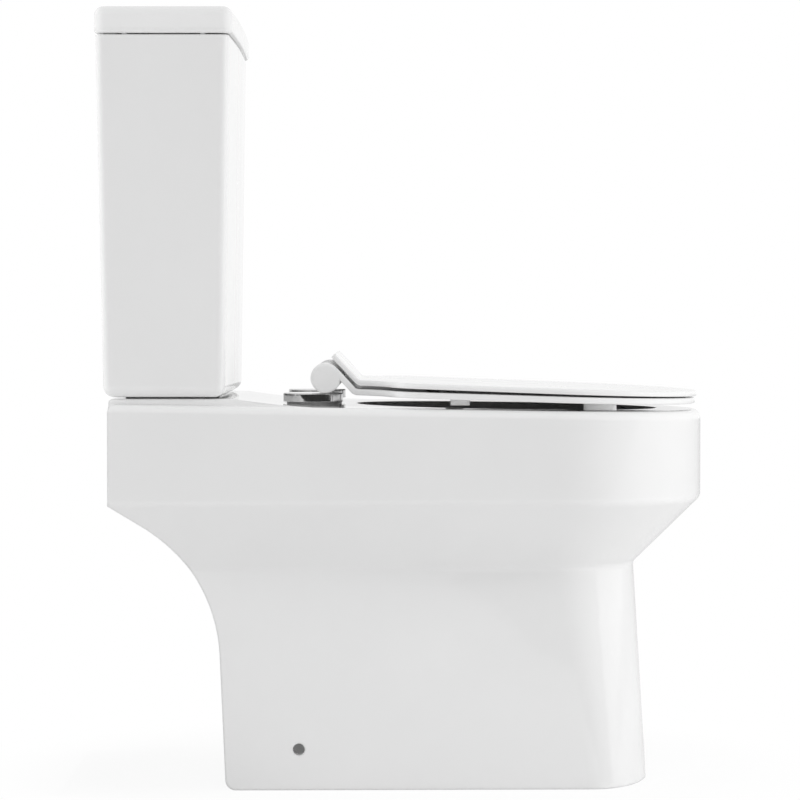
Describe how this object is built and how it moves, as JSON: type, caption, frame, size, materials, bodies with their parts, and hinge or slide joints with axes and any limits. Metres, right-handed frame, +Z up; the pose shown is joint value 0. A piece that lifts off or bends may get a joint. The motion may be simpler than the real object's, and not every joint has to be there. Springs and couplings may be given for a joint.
{
  "type": "close-coupled toilet",
  "caption": "Floor-standing close-coupled toilet: white ceramic pan with open-backed foot, slim cistern with push button, hinged seat and lid.",
  "frame": {"origin": "on the floor under the middle of the object's box", "axes": "+Z up, front of the bowl towards -Y, +X to the right seen from behind the front looking to the wall"},
  "size_m": [0.36, 0.637, 0.8144],
  "materials": {
    "white_china": "gloss white glaze",
    "seat_plastic": "gloss white",
    "chrome": "polished",
    "steel": "plain",
    "dark_rubber": "matt",
    "clear_pad": "soft translucent",
    "white_plastic": "moulded",
    "grey_plastic": "moulded",
    "float_plastic": "moulded"
  },
  "bodies": {
    "pan": {"pan": "white_china", "cistern_tank": "white_china", "hinge_pads": "clear_pad", "hinge_bases": "chrome", "hinge_studs": "steel", "hinge_bushes": "dark_rubber", "hinge_nuts": "white_plastic", "hinge_posts": "steel", "hinge_bodies": "seat_plastic", "hinge_dampers": "grey_plastic", "hinge_pins": "steel", "coupling_gasket": "dark_rubber", "coupling_bolts": "steel", "coupling_seals": "dark_rubber", "coupling_washers": "steel", "coupling_nuts": "white_plastic", "flush_valve_base": "white_plastic", "flush_valve_base_seal": "dark_rubber", "flush_valve_back_nut": "white_plastic", "flush_tower": "white_plastic", "fill_valve_body": "white_plastic", "fill_valve_seal": "dark_rubber", "fill_valve_lock_nut": "white_plastic", "fill_valve_cap": "grey_plastic", "lever_pin": "steel"},
    "seat_ring": {"seat_ring": "seat_plastic", "ring_buffers": "seat_plastic"},
    "seat_lid": {"seat_lid": "seat_plastic", "lid_buffers": "clear_pad"},
    "cistern_lid": {"cistern_lid": "white_china", "button_bezel": "chrome", "button_lock_nut": "white_plastic", "full_flush_spring": "steel", "part_flush_spring": "steel"},
    "full_button": {"full_flush_button": "chrome", "full_flush_rod": "white_plastic"},
    "part_button": {"part_flush_button": "chrome", "part_flush_rod": "white_plastic"},
    "flush_lift": {"overflow_tube": "grey_plastic", "flush_seal": "dark_rubber", "part_flush_float": "float_plastic"},
    "float": {"fill_float": "float_plastic", "float_rod": "grey_plastic"},
    "lever": {"float_lever": "grey_plastic"}
  },
  "joints": [
    {"name": "seat_ring_hinge", "type": "hinge", "parent": "pan", "child": "seat_ring", "pos_m": [0, 0.083, 0.4306], "axis": [-1, 0, 0], "range_deg": [0, 95]},
    {"name": "seat_lid_hinge", "type": "hinge", "parent": "seat_ring", "child": "seat_lid", "pos_m": [0, 0.083, 0.4306], "axis": [1, 0, 0], "range_deg": [-100, 0]},
    {"name": "cistern_lid_lift", "type": "slide", "parent": "pan", "child": "cistern_lid", "axis": [0, 0, 1], "range_m": [0, 0.2]},
    {"name": "full_flush_press", "type": "slide", "parent": "cistern_lid", "child": "full_button", "axis": [0, 0, -1], "range_m": [0, 0.008], "stiffness_N_per_m": 150, "springref_m": -0.012, "deforming": ["full_flush_spring"]},
    {"name": "part_flush_press", "type": "slide", "parent": "cistern_lid", "child": "part_button", "axis": [0, 0, -1], "range_m": [0, 0.008], "stiffness_N_per_m": 150, "springref_m": -0.012, "deforming": ["part_flush_spring"]},
    {"name": "flush_valve_lift", "type": "slide", "parent": "pan", "child": "flush_lift", "axis": [0, 0, 1], "range_m": [0, 0.0082]},
    {"name": "float_rise", "type": "slide", "parent": "pan", "child": "float", "axis": [0, 0, 1], "range_m": [0, 0.01]},
    {"name": "float_lever_turn", "type": "hinge", "parent": "pan", "child": "lever", "pos_m": [0.129, 0.24675, 0.67522], "axis": [0, 1, 0], "range_deg": [0, 26.5]}
  ],
  "couplings": [
    {"joint": "flush_valve_lift", "follows": "full_flush_press", "ratio": 1},
    {"joint": "float_lever_turn", "follows": "float_rise", "rad_per_m": 45.45}
  ]
}
